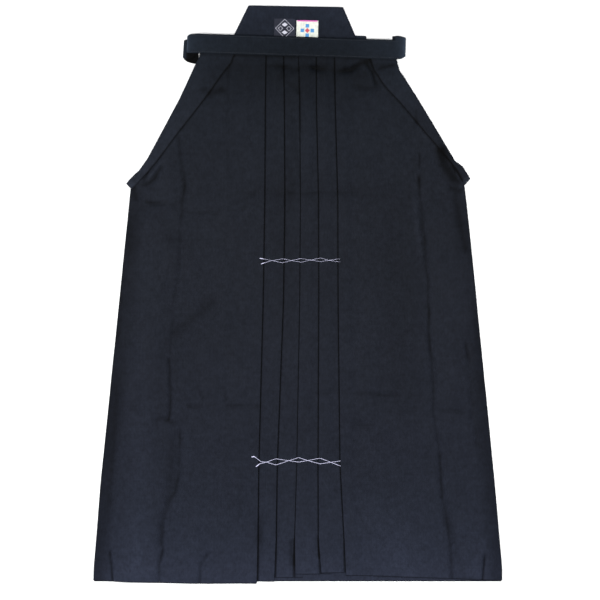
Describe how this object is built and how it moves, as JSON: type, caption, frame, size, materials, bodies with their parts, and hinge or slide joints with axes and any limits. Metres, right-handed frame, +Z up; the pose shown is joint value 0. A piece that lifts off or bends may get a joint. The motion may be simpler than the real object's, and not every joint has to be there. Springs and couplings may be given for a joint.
{
  "type": "hakama trousers",
  "caption": "Pleated wide-leg hakama trousers laid flat front side up, with a stiff back board, a front band and tie straps folded behind.",
  "frame": {"origin": "middle of the garment's outline, on the surface that its back rests on", "axes": "+X towards the wearer's left, +Y from the hem to the waist, +Z up from the surface, out of the garment's front"},
  "size_m": [0.7537, 1.0662, 0.0102],
  "materials": {
    "navy_cloth": "smooth matt plain weave, very dark navy",
    "band_cloth": "the same cloth, doubled and topstitched",
    "board_cloth": "the same cloth stretched over a stiff board",
    "label_dark": "woven label, dark ground",
    "label_pale": "woven label, pale ground",
    "thread_white": "white cotton basting thread",
    "thread_navy": "navy sewing thread"
  },
  "bodies": {
    "root": {"back_leg_right": "navy_cloth", "back_leg_left": "navy_cloth", "front_leg_right": "navy_cloth", "front_leg_left": "navy_cloth", "side_fold_right": "navy_cloth", "side_fold_left": "navy_cloth", "back_board": "board_cloth", "front_band": "band_cloth", "front_strap_right": "band_cloth", "front_strap_left": "band_cloth", "back_strap_right": "band_cloth", "back_strap_left": "band_cloth", "label_dark": "label_dark", "label_pale": "label_pale"}
  },
  "joints": []
}
